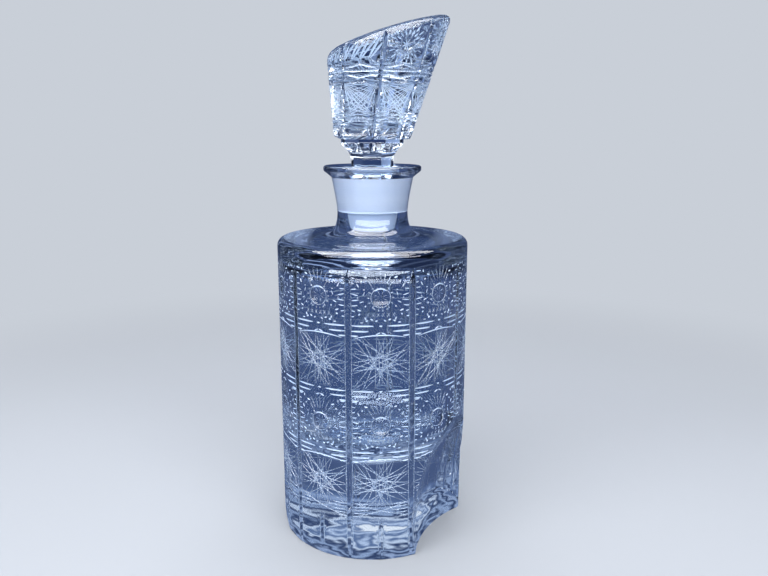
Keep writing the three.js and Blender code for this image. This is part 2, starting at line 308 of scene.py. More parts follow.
def bend_round(tool: Piece, radius: float, height: float) -> Piece:
    """Bends a flat tool round an upright wall and lifts it to its height.

    Args:
        tool: the tool, laid out flat about the origin.
        radius: radius of the wall.
        height: height of the tool's middle.

    Returns:
        The same tool, at azimuth 0.
    """
    only(tool)
    modifier = tool.modifiers.new("bend", "SIMPLE_DEFORM")
    modifier.deform_method = "BEND"
    modifier.deform_axis = "Z"
    modifier.angle = tool.dimensions.x / radius
    bpy.ops.object.modifier_apply(modifier=modifier.name)
    tool.location = (0, -radius, height)
    return settle(tool)


# Wheel cuts


@dataclass(frozen=True)
class Wheel:
    """A cutting wheel, given by the V-shaped cut that it leaves."""

    width: float  # mm across the cut
    depth: float  # mm
    spans: int = 6  # straight spans from one end of a cut to the other


@dataclass(frozen=True)
class Stroke:
    """One wheel cut, laid flat: deepest in its middle, V-shaped across, run out at its ends."""

    x: float  # middle of the cut
    z: float
    length: float
    angle: float  # degrees from level
    wheel: Wheel
    sink: float = 0.0  # how far it lies under the wall's face, as in the floor of a lens
    rise: float = 0.0  # how far an arched cut's middle stands above its ends

    @classmethod
    def between(cls, start: Point, end: Point, wheel: Wheel, sink: float = 0.0) -> "Stroke":
        """Lays a stroke from one point to another.

        Args:
            start: first end.
            end: second end.
            wheel: the wheel that cuts it.
            sink: how far it lies under the wall's face.

        Returns:
            The stroke.
        """
        dx, dz = end[0] - start[0], end[1] - start[1]
        middle = ((start[0] + end[0]) / 2, (start[1] + end[1]) / 2)
        angle = math.degrees(math.atan2(dz, dx))
        return cls(middle[0], middle[1], math.hypot(dx, dz), angle, wheel, sink)

    def solid(self) -> Piece:
        """Models the wheel's path as a long four-sided boat.

        Returns:
            The closed solid.
        """
        bpy.ops.mesh.primitive_uv_sphere_add(
            segments=V_SIDES,
            ring_count=self.wheel.spans,
            radius=1,
            location=(self.x, self.sink, self.z),
            rotation=(0, math.pi / 2 - math.radians(self.angle), 0),
            scale=(self.wheel.width / 2, self.wheel.depth, self.length / 2),
        )
        boat = settle(bpy.context.object)
        if self.rise:
            for vertex in boat.data.vertices:
                along = (vertex.co.x - self.x) / (self.length / 2)
                vertex.co.z += self.rise * (1 - along * along)
        return boat


@dataclass(frozen=True)
class Lens:
    """A round or oval polished hollow, laid flat about the origin."""

    width: float
    tall: float
    depth: float
    sides: int = 28
    rows: int = 40  # of the whole ball, of which the hollow uses a few

    def solid(self) -> Piece:
        """Models the wheel's face as a flattened ball whose cap makes the hollow.

        Returns:
            The closed solid.
        """
        half = self.width / 2
        ball = (half * half + self.depth * self.depth) / (2 * self.depth)
        bpy.ops.mesh.primitive_uv_sphere_add(
            segments=self.sides,
            ring_count=self.rows,
            radius=ball,
            location=(0, self.depth - ball, 0),
            rotation=(-math.pi / 2, 0, 0),
        )
        cap = settle(bpy.context.object)
        with editing(cap):
            bpy.ops.mesh.bisect(
                plane_co=(0, -self.depth, 0),
                plane_no=(0, 1, 0),
                use_fill=True,
                clear_inner=True,
            )
        cap.scale.z = self.tall / self.width
        return settle(cap)


@dataclass(frozen=True)
class Rim:
    """A thin circle cut round a hollow, laid flat."""

    radius: float
    width: float
    sides: int = 36

    def solid(self) -> Piece:
        """Models the circle as a slim four-sided hoop.

        Returns:
            The closed solid.
        """
        bpy.ops.mesh.primitive_torus_add(
            major_segments=self.sides,
            minor_segments=V_SIDES,
            major_radius=self.radius,
            minor_radius=self.width / 2,
            rotation=(math.pi / 2, 0, 0),
        )
        return settle(bpy.context.object)


def stray(k: int, pace: float) -> float:
    """Gives a share from -1 to 1 that looks like a hand's stray as k goes up, the same each run."""
    return math.sin(pace * k)


def on_border(half_width: float, half_height: float, degrees: float) -> Point:
    """Gives the point of a rectangle's border that lies in a direction from its middle.

    Args:
        half_width: half the rectangle's width.
        half_height: half its height.
        degrees: the direction, from level.

    Returns:
        The point.
    """
    tiny = 1e-6  # stands in for a share of nothing, which can't divide
    across, up = math.cos(math.radians(degrees)), math.sin(math.radians(degrees))
    reach = min(half_width / max(abs(across), tiny), half_height / max(abs(up), tiny))
    return (reach * across, reach * up)


def star(
    half_width: float, half_height: float, points: int, skip: int, wheel: Wheel, wander: float = 0.0
) -> list[Stroke]:
    """Lays out a star of chords, each from a point of a rectangle's border to one nearly opposite.

    Args:
        half_width: half the rectangle's width.
        half_height: half its height.
        points: points round the border.
        skip: steps along the border from a chord's first point to its last.
        wheel: the wheel that cuts it.
        wander: how far the points stray from even steps, as by hand, in steps.

    Returns:
        The strokes.
    """
    aims = [360 * (k + wander * stray(k, 2.4)) / points for k in range(points)]
    tips = [on_border(half_width, half_height, aim) for aim in aims]
    return [Stroke.between(tips[k], tips[(k + skip) % points], wheel) for k in range(points)]


def mirrored(strokes: Iterable[Stroke]) -> list[Stroke]:
    """Repeats strokes on the other side of the panel's middle.

    Args:
        strokes: strokes on one side.

    Returns:
        The strokes of both sides.
    """
    both: list[Stroke] = []
    for stroke in strokes:
        both += [stroke, replace(stroke, x=-stroke.x, angle=180 - stroke.angle)]
    return both


@dataclass
class CutGlass:
    """A piece of cut glass: the finishes of its faces, and the tools that leave them."""

    materials: Sequence[bpy.types.Material]

    def polished(self, solid: Piece) -> Piece:
        """Gives a blank or a tool the polished finish."""
        return dress(solid, Surface.POLISHED, self.materials)

    def flat(self, strokes: Sequence[Stroke | Rim], surface: Surface = Surface.FINE_CUT) -> Piece:
        """Unites strokes into one flat tool.

        Args:
            strokes: the strokes.
            surface: the finish that the cuts keep.

        Returns:
            The tool.
        """
        return united([dress(stroke.solid(), surface, self.materials) for stroke in strokes])


# Finishes


def linear(colour: str) -> tuple[float, float, float, float]:
    """Turns an sRGB hex colour to linear light.

    Args:
        colour: the colour, as in "#c8d4ec".

    Returns:
        Red, green, blue and an alpha of 1.
    """
    parts = [int(colour[i : i + 2], 16) / 255 for i in (1, 3, 5)]
    light = [p / 12.92 if p <= 0.04045 else ((p + 0.055) / 1.055) ** 2.4 for p in parts]
    return (light[0], light[1], light[2], 1.0)


def add_node(
    tree: bpy.types.NodeTree,
    kind: str,
    values: dict[str | int, Any] | None = None,
    links: dict[str | int, bpy.types.NodeSocket] | None = None,
    **settings: Any,
) -> bpy.types.Node:
    """Adds a node with its settings, values and incoming links.

    Args:
        tree: the node tree.
        kind: the node's type.
        values: input name or number to a constant.
        links: input name or number to the socket that feeds it.
        settings: the node's own properties.

    Returns:
        The node.
    """
    node = tree.nodes.new(kind)
    for name, value in settings.items():
        setattr(node, name, value)
    for name, value in (values or {}).items():
        node.inputs[name].default_value = value
    for name, socket in (links or {}).items():
        tree.links.new(socket, node.inputs[name])
    return node


def new_material(name: str) -> tuple[bpy.types.Material, bpy.types.NodeTree]:
    """Starts a material with an empty node tree.

    Args:
        name: the material's name.

    Returns:
        The material and its tree.
    """
    material = bpy.data.materials.new(name)
    material.use_nodes = True
    material.node_tree.nodes.clear()
    return material, material.node_tree


def close_material(tree: bpy.types.NodeTree, shader: bpy.types.Node) -> None:
    """Joins a shader to the output.

    Args:
        tree: the node tree.
        shader: the shader node.
    """
    add_node(tree, "ShaderNodeOutputMaterial", links={"Surface": shader.outputs[0]})


@dataclass(frozen=True)
class PolishedCrystal:
    """Lead crystal, blown, cut and acid-polished: bright and clear, faintly cool, not quite flat."""

    tint: str = "#e8f1fb"
    roughness: Pair = (0.012, 0.05)  # in a clean patch and in a wiped one
    ripple: float = 7.0  # mm between the soft waves that polishing leaves
    ripple_height: float = 0.024  # mm
    wipe: float = 14.0  # mm across a wiped patch

    def material(self) -> bpy.types.Material:
        """Builds the finish: soft ripples bend the light, and wiped patches are a little duller.

        Returns:
            The material.
        """
        material, tree = new_material("lead_crystal_polished")
        place = add_node(tree, "ShaderNodeTexCoord").outputs["Object"]
        waves = add_node(
            tree,
            "ShaderNodeTexNoise",
            {"Scale": 1 / (self.ripple * MM), "Detail": 1.0, "Roughness": 0.4},
            {"Vector": place},
        )
        bump = add_node(
            tree,
            "ShaderNodeBump",
            {"Strength": 1.0, "Distance": self.ripple_height * MM},
            {"Height": waves.outputs["Fac"]},
        )
        patches = add_node(
            tree,
            "ShaderNodeTexNoise",
            {"Scale": 1 / (self.wipe * MM), "Detail": 3.0, "Roughness": 0.6},
            {"Vector": place},
        )
        dull = add_node(
            tree,
            "ShaderNodeMapRange",
            {
                "From Min": 0.4,
                "From Max": 0.75,
                "To Min": self.roughness[0],
                "To Max": self.roughness[1],
            },
            {"Value": patches.outputs["Fac"]},
        )
        shader = add_node(
            tree,
            "ShaderNodeBsdfPrincipled",
            {
                "Base Color": linear(self.tint),
                "IOR": IOR_LEAD_CRYSTAL,
                "Transmission Weight": 1.0,
            },
            {"Roughness": dull.outputs["Result"], "Normal": bump.outputs["Normal"]},
        )
        close_material(tree, shader)
        return material


@dataclass(frozen=True)
class FineCutCrystal:
    """The floor of a wheel cut: half polished, so it gathers light and looks frosted or white."""

    name: str = "lead_crystal_wheel_cut"
    tint: str = "#b9cde6"
    roughness: Pair = (0.12, 0.35)  # least and greatest along a cut
    clear: float = 0.62  # share of the light that still passes
    marks: float = 0.9  # mm between wheel marks, several times the real spacing, so that they show
    marks_height: float = 0.03  # mm

    def material(self) -> bpy.types.Material:
        """Builds the finish: uneven wheel marks scatter the light along each cut.

        Returns:
            The material.
        """
        low, high = NOISE_SPREAD
        material, tree = new_material(self.name)
        place = add_node(tree, "ShaderNodeTexCoord").outputs["Object"]
        marks = add_node(
            tree,
            "ShaderNodeTexNoise",
            {"Scale": 1 / (self.marks * MM), "Detail": 2.0, "Roughness": 0.55},
            {"Vector": place},
        )
        bump = add_node(
            tree,
            "ShaderNodeBump",
            {"Strength": 1.0, "Distance": self.marks_height * MM},
            {"Height": marks.outputs["Fac"]},
        )
        dull = add_node(
            tree,
            "ShaderNodeMapRange",
            {
                "From Min": low,
                "From Max": high,
                "To Min": self.roughness[0],
                "To Max": self.roughness[1],
            },
            {"Value": marks.outputs["Fac"]},
        )
        shader = add_node(
            tree,
            "ShaderNodeBsdfPrincipled",
            {
                "Base Color": linear(self.tint),
                "IOR": IOR_LEAD_CRYSTAL,
                "Transmission Weight": self.clear,
            },
            {"Roughness": dull.outputs["Result"], "Normal": bump.outputs["Normal"]},
        )
        close_material(tree, shader)
        return material


@dataclass(frozen=True)
class GroundCrystal:
    """A ground joint: emery-matt, milky and even, with faint turning rings."""

    pale: str = "#dfe9fa"
    shade: str = "#d0ddf4"
    clear: float = 0.04  # share of the light that still passes
    grit: float = 0.7  # mm; real grit is finer, and drawn as coarse as the render can show
    grit_height: float = 0.03  # mm
    rings: float = 10.053  # mm between the soft rings that turning leaves
    ring_share: float = 0.35  # height of a ring, as a share of the grit's

    def material(self) -> bpy.types.Material:
        """Builds the finish: milky body colour, grain, and rings from the grinding cone.

        Returns:
            The material.
        """
        band = math.pi / 10  # width of a band of the wave texture at scale 1
        material, tree = new_material("lead_crystal_ground_joint")
        place = add_node(tree, "ShaderNodeTexCoord").outputs["Object"]
        grit = add_node(
            tree,
            "ShaderNodeTexNoise",
            {"Scale": 1 / (self.grit * MM), "Detail": 2.0, "Roughness": 0.6},
            {"Vector": place},
        )
        rings = add_node(
            tree,
            "ShaderNodeTexWave",
            {"Scale": band / (self.rings * MM), "Distortion": 1.5, "Detail": 2.0},
            {"Vector": place},
            wave_type="BANDS",
            bands_direction="Z",
        )
        blend = add_node(
            tree,
            "ShaderNodeMath",
            {1: self.ring_share},
            {0: rings.outputs["Fac"]},
            operation="MULTIPLY",
        )
        height = add_node(
            tree,
            "ShaderNodeMath",
            links={0: grit.outputs["Fac"], 1: blend.outputs[0]},
            operation="ADD",
        )
        bump = add_node(
            tree,
            "ShaderNodeBump",
            {"Strength": 0.8, "Distance": self.grit_height * MM},
            {"Height": height.outputs[0]},
        )
        tone = add_node(
            tree,
            "ShaderNodeMix",
            {"A": linear(self.shade), "B": linear(self.pale)},
            {"Factor": height.outputs[0]},
            data_type="RGBA",
        )
        shader = add_node(
            tree,
            "ShaderNodeBsdfPrincipled",
            {
                "Roughness": 0.75,
                "Specular IOR Level": 0.15,
                "IOR": IOR_LEAD_CRYSTAL,
                "Transmission Weight": self.clear,
            },
            {"Base Color": tone.outputs["Result"], "Normal": bump.outputs["Normal"]},
        )
        close_material(tree, shader)
        return material


@dataclass(frozen=True)
class StudioPaper:
    """Seamless paper: pale, matt and cool, with the faint tooth of the sheet."""

    pale: str = "#c9cfd8"  # as the camera sees it
    sheet: str = "#868a90"  # the sheet itself, under lamps that bring it up to the pale
    near: str = "#4a5a7f"  # painted shade: the sheet as glass and gloss show it close by, far darker than the pale that the camera sees
    shade: str = "#4a597e"  # painted shade: the sheet as glass and gloss show it far off
    rings: tuple[tuple[float, str], ...] = (
        (0.002, "#e4eefb"),
        (0.006, "#6f86ae"),
        (0.011, "#b4c8e8"),
        (0.016, "#5f769f"),
        (0.021, "#c3d4ee"),
        (0.027, "#33456b"),
        (0.034, "#90a6cb"),
        (0.04, "#2c3d62"),
        (0.046, "#94a8cc"),
        (0.052, "#5b7098"),
        (0.065, "#4a5a7f"),
    )  # painted caustic light and painted shade in rings, as the foot shows the sheet below: metres from the axis, and colour
    caustic: float = 18.0  # mm across a patch of the light that the foot throws on the sheet
    drift: float = 0.013  # metres by which the patches break up the rings
    tooth: float = 2.0  # mm between the sheet's fibres, drawn coarser than they are to show
    tooth_height: float = 0.1  # mm
    lit: Pair = (0.22, 0.62)  # metres from the decanter over which the paper leaves the lamps

    def painted_sheet_in_glass(
        self,
        tree: bpy.types.NodeTree,
        place: bpy.types.NodeSocket,
        away: bpy.types.NodeSocket,
        far: bpy.types.NodeSocket,
    ) -> bpy.types.NodeSocket:
        """Colours the sheet as glass and gloss show it, with painted shade close by, painted caustic
        light and shade in rings under the foot, and a painted shade far off.

        Args:
            tree: the node tree.
            place: the place on the sheet.
            away: how far that is from the decanter.
            far: 0 near the decanter, and 1 where the lamps leave the sheet.

        Returns:
            The colour.
        """
        low, high = NOISE_SPREAD
        edge = self.rings[-1][0]
        patches = add_node(
            tree,
            "ShaderNodeTexNoise",
            {"Scale": 1 / (self.caustic * MM), "Detail": 2.0},
            {"Vector": place},
        )
        drift = add_node(
            tree,
            "ShaderNodeMapRange",
            {"From Min": low, "From Max": high, "To Min": -self.drift, "To Max": self.drift},
            {"Value": patches.outputs["Fac"]},
        )
        broken = add_node(
            tree,
            "ShaderNodeMath",
            links={0: away, 1: drift.outputs["Result"]},
            operation="ADD",
        )
        under = add_node(
            tree, "ShaderNodeMapRange", {"From Max": edge}, {"Value": broken.outputs[0]}
        )
        # painted caustic light and shade in rings under the foot, easing into the painted shade
        # close by
        near = add_node(tree, "ShaderNodeValToRGB", links={"Fac": under.outputs["Result"]})
        near.color_ramp.interpolation = "EASE"
        stops = near.color_ramp.elements
        stops[0].color = linear(self.rings[0][1])
        stops[1].color = linear(self.near)
        for distance, colour in self.rings:
            stops.new(distance / edge).color = linear(colour)
        shown = add_node(
            tree,
            "ShaderNodeMix",
            {"B": linear(self.shade)},
            {"Factor": far, "A": near.outputs["Color"]},
            data_type="RGBA",
        )
        return shown.outputs["Result"]

    def material(self) -> bpy.types.Material:
        """Builds the finish: paper that the lamps light by the decanter, an even pale sheet beyond.

        Glass and gloss show the sheet with painted shade, much darker than the camera sees it and
        shading off towards the back of the room, and with painted caustic light and shade in rings
        under the foot.

        Returns:
            The material.
        """
        material, tree = new_material("studio_paper")
        place = add_node(tree, "ShaderNodeTexCoord").outputs["Object"]
        tooth = add_node(
            tree,
            "ShaderNodeTexNoise",
            {"Scale": 1 / (self.tooth * MM), "Detail": 2.0},
            {"Vector": place},
        )
        bump = add_node(
            tree,
            "ShaderNodeBump",
            {"Strength": 0.1, "Distance": self.tooth_height * MM},
            {"Height": tooth.outputs["Fac"]},
        )
        paper = add_node(
            tree,
            "ShaderNodeBsdfPrincipled",
            {"Base Color": linear(self.sheet), "Roughness": 0.9},
            {"Normal": bump.outputs["Normal"]},
        )
        length = add_node(tree, "ShaderNodeVectorMath", links={0: place}, operation="LENGTH")
        away = length.outputs["Value"]
        fade = add_node(
            tree,
            "ShaderNodeMapRange",
            {"From Min": self.lit[0], "From Max": self.lit[1]},
            {"Value": away},
            interpolation_type="SMOOTHSTEP",
        )
        far = fade.outputs["Result"]
        path = add_node(tree, "ShaderNodeLightPath")
        tone = add_node(
            tree,
            "ShaderNodeMix",
            {"B": linear(self.pale)},
            {"Factor": path.outputs["Is Camera Ray"], "A": self.painted_sheet_in_glass(tree, place, away, far)},
            data_type="RGBA",
        )
        sheet = add_node(tree, "ShaderNodeEmission", links={"Color": tone.outputs["Result"]})
        direct = add_node(
            tree,
            "ShaderNodeMath",
            links={0: path.outputs["Is Camera Ray"], 1: far},
            operation="MULTIPLY",
        )
        through = add_node(
            tree,
            "ShaderNodeMath",
            links={0: path.outputs["Is Glossy Ray"], 1: path.outputs["Is Transmission Ray"]},
            operation="MAXIMUM",
        )
        share = add_node(
            tree,
            "ShaderNodeMath",
            links={0: direct.outputs[0], 1: through.outputs[0]},
            operation="MAXIMUM",
        )
        shader = add_node(
            tree,
            "ShaderNodeMixShader",
            links={0: share.outputs[0], 1: paper.outputs[0], 2: sheet.outputs[0]},
        )
        close_material(tree, shader)
        return material


# The bottle


@dataclass(frozen=True)
class Groove:
    """An upright V-groove that comes out of the foot, with a fine line cut down each edge."""

    width: float
    depth: float
    top: float  # height at which it has run out
    run_out: float  # length over which it does
    line: Wheel
    line_length: float
    line_middle: float  # height of the line's middle
    line_gap: float  # from the groove's edge to the line


@dataclass
class Bottle(CutGlass):
    """The bottle: one solid of crystal, turned, hollowed, scooped and cut all round."""

    sides: int = 80  # facets round the wall
    turn: float = 4.3  # degrees from the middle of the photographed side to a panel's middle
    radius: float = 49.0
    height: float = 156.3  # of the shoulder, at its outer edge
    shoulder_edge: float = 4.0  # radius of the rounded edge
    shoulder_rise: float = 1.0  # from that edge to the neck
    foot_edge: float = 1.2  # bevel of the edge that the bottle stands on
    wall: float = 9.0
    base: float = 42.0  # glass under the hollow
    floor_round: float = 28.0
    roof_round: float = 14.0
    roof_thickness: float = 6.5
    neck_radius: float = 18.0  # at the waist
    neck_waist: float = 169.5  # height of the waist
    neck_flare: float = 7.0  # how much wider the neck is on the shoulder
    waist_hold: float = 0.2  # share of the way to the lip over which the waist stays upright
    neck_top_radius: float = 20.75
    lip_bottom: float = 186.5
    lip_edge: float = 3.1  # thickness of the lip at its edge
    lip_rounding: float = 1.1
    lip_top: float = 192.3
    lip_radius: float = 24.85
    bore_radius: float = 14.2  # of the neck under the ground socket
    ground_bottom: float = 170.0
    ground_top: float = 187.0
    ground_radius: float = 15.0  # at the top of the ground socket
    ground_taper: float = 0.1  # of radius for each millimetre down
    ground_step: float = 0.9  # height of the step between socket and bore
    mouth_bevel: float = 1.6
    panels: int = 10
    mitre: Groove = Groove(2.8, 1.4, 147.5, 5.0, Wheel(0.4, 0.3, 12), 175, 58.0, 0.1)
    foot_groove: Groove = Groove(2.0, 1.0, 23.0, 4.0, Wheel(0.4, 0.3), 25, 11.5, 0.25)
    foot_facet: Pair = (13.0, 1.1)  # height of the flat facets, and how far they lean in
    scoop_azimuth: float = 56.0  # degrees from the middle of a panel towards +X
    scoop_depth: float = 16.5
    scoop_axle: float = 16.0  # height of the wheel's axle
    scoop_wheel: float = 85.0  # radius of the wheel
    scoop_edge: float = 69.0  # radius of its rounded edge
    scoop_half_width: float = 36.0
    lens: Lens = Lens(8.6, 8.6, 0.9)
    lenses: Pair = (134.4, 71.6)  # heights of the lens squares' middles
    stars: Pair = (103.0, 40.8)  # of the star squares'
    bands: tuple[float, float, float] = (118.4, 86.4, 55.3)
    lowest_band_middle: float = 27.4
    star_half: Pair = (15.3, 14.0)  # half its width, just short of half a panel, and height
    arch: Stroke = Stroke(0, 0, 25, 0, Wheel(0.62, 0.42, 10), rise=1.7)
    arch_above: float = 11.9  # from a star's middle to the arch over it
    dash_edge: float = 13.8  # from a panel's middle to the outer ends of its dashes
    band_edge: float = 14.1  # and to the outer ends of its bands, in the mitres

    def socket_radius(self, height: float) -> float:
        """Gives the radius of the ground socket at a height."""
        return self.ground_radius - self.ground_taper * (self.ground_top - height)

    def panel_middles(self) -> list[float]:
        """Gives the azimuth of each panel's middle, in degrees."""
        return [360 / self.panels * k for k in range(self.panels)]

    def outside(self) -> list[Point]:
        """Gives the outline from the underside up to the top of the lip.

        Returns:
            Its points, as radius and height.
        """
        edge = self.radius - self.shoulder_edge
        top = self.height + self.shoulder_rise
        neck_foot = self.neck_radius + self.neck_flare
        points = [(self.radius - self.foot_edge, 0.0), (self.radius, self.foot_edge)]
        middle = (edge, self.height - self.shoulder_edge)
        points += arc(middle, self.shoulder_edge, start=0, end=82, steps=8)
        points += sweep(points[-1], ((edge + neck_foot) / 2, top), (neck_foot, top), steps=9)
        waist = (self.neck_radius, self.neck_waist)
        points += sweep(points[-1], (self.neck_radius, top), waist, steps=9)
        hold = self.waist_hold * (self.lip_bottom - self.neck_waist)
        pull = (self.neck_radius, self.neck_waist + hold)
        points += sweep(points[-1], pull, (self.neck_top_radius, self.lip_bottom), steps=8)
        rounding, within = self.lip_rounding, self.lip_radius - self.lip_rounding
        middle = (within, self.lip_top - self.lip_edge + rounding)
        points += arc(middle, rounding, start=-60, end=0, steps=4)
        points += arc((within, self.lip_top - rounding), rounding, start=0, end=90, steps=5)
        return points

    def inside(self) -> list[Point]:
        """Gives the outline from the mouth down the neck and the hollow to its floor.

        Returns:
            Its points, as radius and height.
        """
        ceiling = self.height + self.shoulder_rise - self.roof_thickness
        within = self.radius - self.wall
        bevel, mouth = self.mouth_bevel, self.lip_top - self.mouth_bevel
        wide = self.socket_radius(mouth)
        points = [
            (wide + bevel, self.lip_top),
            (wide + 0.35 * bevel, mouth + 0.45 * bevel),  # rounds the bevel
            (wide, mouth - 0.6),
            (self.socket_radius(self.ground_top), self.ground_top),
            (self.socket_radius(self.ground_bottom), self.ground_bottom),
            (self.bore_radius, self.ground_bottom - self.ground_step),
            (self.bore_radius, self.height + self.shoulder_rise),
        ]
        middle = (within - self.roof_round, ceiling - self.roof_round)
        roof = arc(middle, self.roof_round, start=80, end=0, steps=9)
        points += sweep(points[-1], (self.bore_radius, ceiling), roof[0], steps=9)
        points += roof[1:]
        middle = (within - self.floor_round, self.base + self.floor_round)
        points += arc(middle, self.floor_round, start=0, end=-90, steps=14)
        return points

    def foot_prism(self) -> Piece:
        """Models what the foot keeps: two flat facets to a panel, leaning in as they go down.

        Returns:
            The closed solid.
        """
        tall, inset = self.foot_facet
        spare = 2.0  # past the foot and past the lip
        corner = 1 / math.cos(math.pi / (2 * self.panels))
        ends = (-spare, self.lip_top + spare)
        flats = [(z, self.radius + inset / tall * (z - tall)) for z in ends]
        return lathe([(flat * corner, z) for z, flat in flats], 2 * self.panels)

    def grooves(self, groove: Groove, azimuths: Iterable[float]) -> Piece:
        """Models an upright groove at each azimuth.

        Args:
            groove: the groove.
            azimuths: where the groove is cut.

        Returns:
            The tool.
        """
        below, tip = 3, 0.08  # how far it starts under the foot, and how slim it runs out
        reach = groove.top - groove.run_out + below
        bpy.ops.mesh.primitive_cylinder_add(
            vertices=V_SIDES,
            radius=1,
            depth=reach,
            location=(0, -self.radius, reach / 2 - below),
            scale=(groove.width / 2, groove.depth, 1),
        )
        tool = settle(bpy.context.object)
        with editing(tool, lambda face: face.normal.z > LEVEL):
            lift = {"value": (0, 0, groove.run_out)}
            bpy.ops.mesh.extrude_region_move(TRANSFORM_OT_translate=lift)
            end = (0, -self.radius, groove.top)
            bpy.ops.transform.resize(value=(tip, tip, 1), center_override=end)
        return ring_of(self.polished(tool), azimuths)

    def edge_lines(self, groove: Groove, side: int, azimuths: Iterable[float]) -> Piece:
        """Models the fine line down one edge of a groove, at each azimuth.

        Args:
            groove: the groove.
            side: -1 for its left edge and 1 for its right one.
            azimuths: where the groove is cut.

        Returns:
            The tool.
        """
        flat = self.flat([Stroke(0, 0, groove.line_length, 90, groove.line)])
        line = bend_round(flat, self.radius, groove.line_middle)
        turn = math.degrees(side * (groove.width / 2 + groove.line_gap) / self.radius)
        return ring_of(line, [azimuth + turn for azimuth in azimuths])

    def scoop(self) -> Piece:
        """Models the large round-edged wheel that leaves the scoop, on its level axle.

        Returns:
            The tool.
        """
        hub = self.scoop_wheel - self.scoop_edge
        steps, sides = 22, 160
        profile: list[Point] = []
        for k in range(steps + 1):
            z = self.scoop_half_width * (2 * k / steps - 1)
            profile.append((hub + math.sqrt(self.scoop_edge**2 - z * z), z))
        wheel = lathe(profile, sides)
        wheel.rotation_euler = (0, math.pi / 2, 0)
        wheel.location = (0, -(self.radius - self.scoop_depth + self.scoop_wheel), self.scoop_axle)
        settle(wheel)
        wheel.rotation_euler = (0, 0, math.radians(self.scoop_azimuth))
        return self.polished(settle(wheel))

    def star_square(self) -> list[Stroke]:
        """Lays out a star square: chords from border to border, and lines through its middle.

        Returns:
            The strokes.
        """
        fine = Wheel(0.46, 0.3, 5)
        strokes = star(*self.star_half, points=18, skip=8, wheel=fine, wander=0.25)
        strokes += [Stroke(x, 0, 24.5, 90 + tilt, fine) for x, tilt in ((-0.7, 1), (0.9, -2))]
        return strokes + [Stroke(0, 0.4, 31, tilt, fine) for tilt in (24, -29)]

    def lens_crown(self) -> list[Stroke | Rim]:
        """Lays out the fine cuts of a lens square: rim, beads, and lines over and under it.

        Returns:
            The strokes and the rim.
        """
        fine, bead = Wheel(0.42, 0.3, 4), Wheel(0.7, 0.42, 4)
        crown = (((1.1, 6.4), (2.7, 12.6)), ((2.6, 6.0), (5.6, 12.0)), ((3.9, 5.2), (6.2, 8.4)))
        half = [Stroke.between(start, end, fine) for start, end in crown]
        half += [Stroke(x, -8.0, 2.6, tilt, fine) for x in (1.2, 3.6, 6.0) for tilt in (58, -58)]
        ring = 5.7
        for aim in (-50, -25, 0, 25, 50):
            x, z = ring * math.cos(math.radians(aim)), ring * math.sin(math.radians(aim))
            half.append(Stroke(x, z, 1.3, aim, bead))
        half += [Stroke(1.0, -5.9, 1.2, 80, bead), Stroke(3.0, -5.2, 1.2, 55, bead)]
        return [*mirrored(half), Stroke(0, 9.8, 6.6, 90, fine), Rim(4.6, 0.4)]

    def lens_dashes(self) -> list[Stroke]:
        """Lays out the bright cuts of a lens square: rays, a crescent, and marks round the lens.

        Returns:
            The strokes.
        """
        ray, crescent = Wheel(0.34, 0.34, 4), Wheel(0.8, 0.5, 8)
        dash, dot = Wheel(0.55, 0.38, 5), Wheel(0.75, 0.45, 4)
        whole = [Stroke(0, 0, 7.0, 45 * k + 22.5, ray, sink=0.55) for k in range(4)]
        whole.append(Stroke(0, 3.1, 5.8, 0, crescent, sink=0.1, rise=1.2))
        half: list[Stroke] = []
        for k in range(9):  # a ladder of dashes beside the groove
            length = 2.6 + 1.2 * stray(k, 5.3)
            x = self.dash_edge - length / 2 - 0.6 * stray(k, 3.1) ** 2
            half.append(Stroke(x, 11.8 - 2.6 * k, length, 14 * stray(k, 2.0), dash))
        for k in range(13):  # flecks between the ladder and the lens, turned every way
            x, z = 8.9 + 1.9 * stray(k, 4.4), 1.95 * k - 11.8
            fleck = Wheel(0.62 + 0.18 * stray(k, 7.0), 0.42, 4)
            half.append(Stroke(x, z, 1.5 + 0.7 * stray(k, 2.9), 67 * k, fleck))
        for k in range(3):  # a row of dots under the lens
            x, z, tilt = 2.0 + 2.2 * k, -10.9 + 0.6 * (k % 2), 55 * (k % 2) - 30
            half.append(Stroke(x, z, 1.4, tilt, dot))
        return whole + mirrored(half)

    def band(self) -> list[Stroke]:
        """Lays out a band: level dashes from each groove, shorter as they go down, and a chevron.

        Returns:
            The strokes.
        """
        dash, chevron, dot = Wheel(0.85, 0.6), Wheel(0.7, 0.45, 4), Wheel(0.8, 0.5, 4)
        half: list[Stroke] = []
        for z, length in ((2.6, 11.0), (0.0, 8.6), (-2.3, 3.6)):
            half.append(Stroke(self.band_edge - length / 2, z, length, 0, dash))
        half.append(Stroke.between((2.5, -1.5), (0.1, -0.5), chevron))
        return [*mirrored(half), Stroke(0, 2.6, 1.7, 0, dot)]

    def lowest_band(self) -> list[Stroke]:
        """Lays out the band over the foot: thin level lines, and two long lines that cross.

        Returns:
            The strokes.
        """
        thin, cross = Wheel(0.6, 0.42, 4), Wheel(0.5, 0.36, 10)
        half: list[Stroke] = []
        for k, length in enumerate((8.5, 10.5, 9.0, 7.0, 5.0)):
            half.append(Stroke(self.band_edge - length / 2, 3.4 - 1.7 * k, length, 0, thin))
        return mirrored(half) + [Stroke(0, 0, 27, tilt, cross) for tilt in (15, -15)]

    def wrapped(self, flat: Piece, height: float) -> Piece:
        """Bends a flat tool round the wall at a height and repeats it in every panel."""
        return ring_of(bend_round(flat, self.radius, height), self.panel_middles())

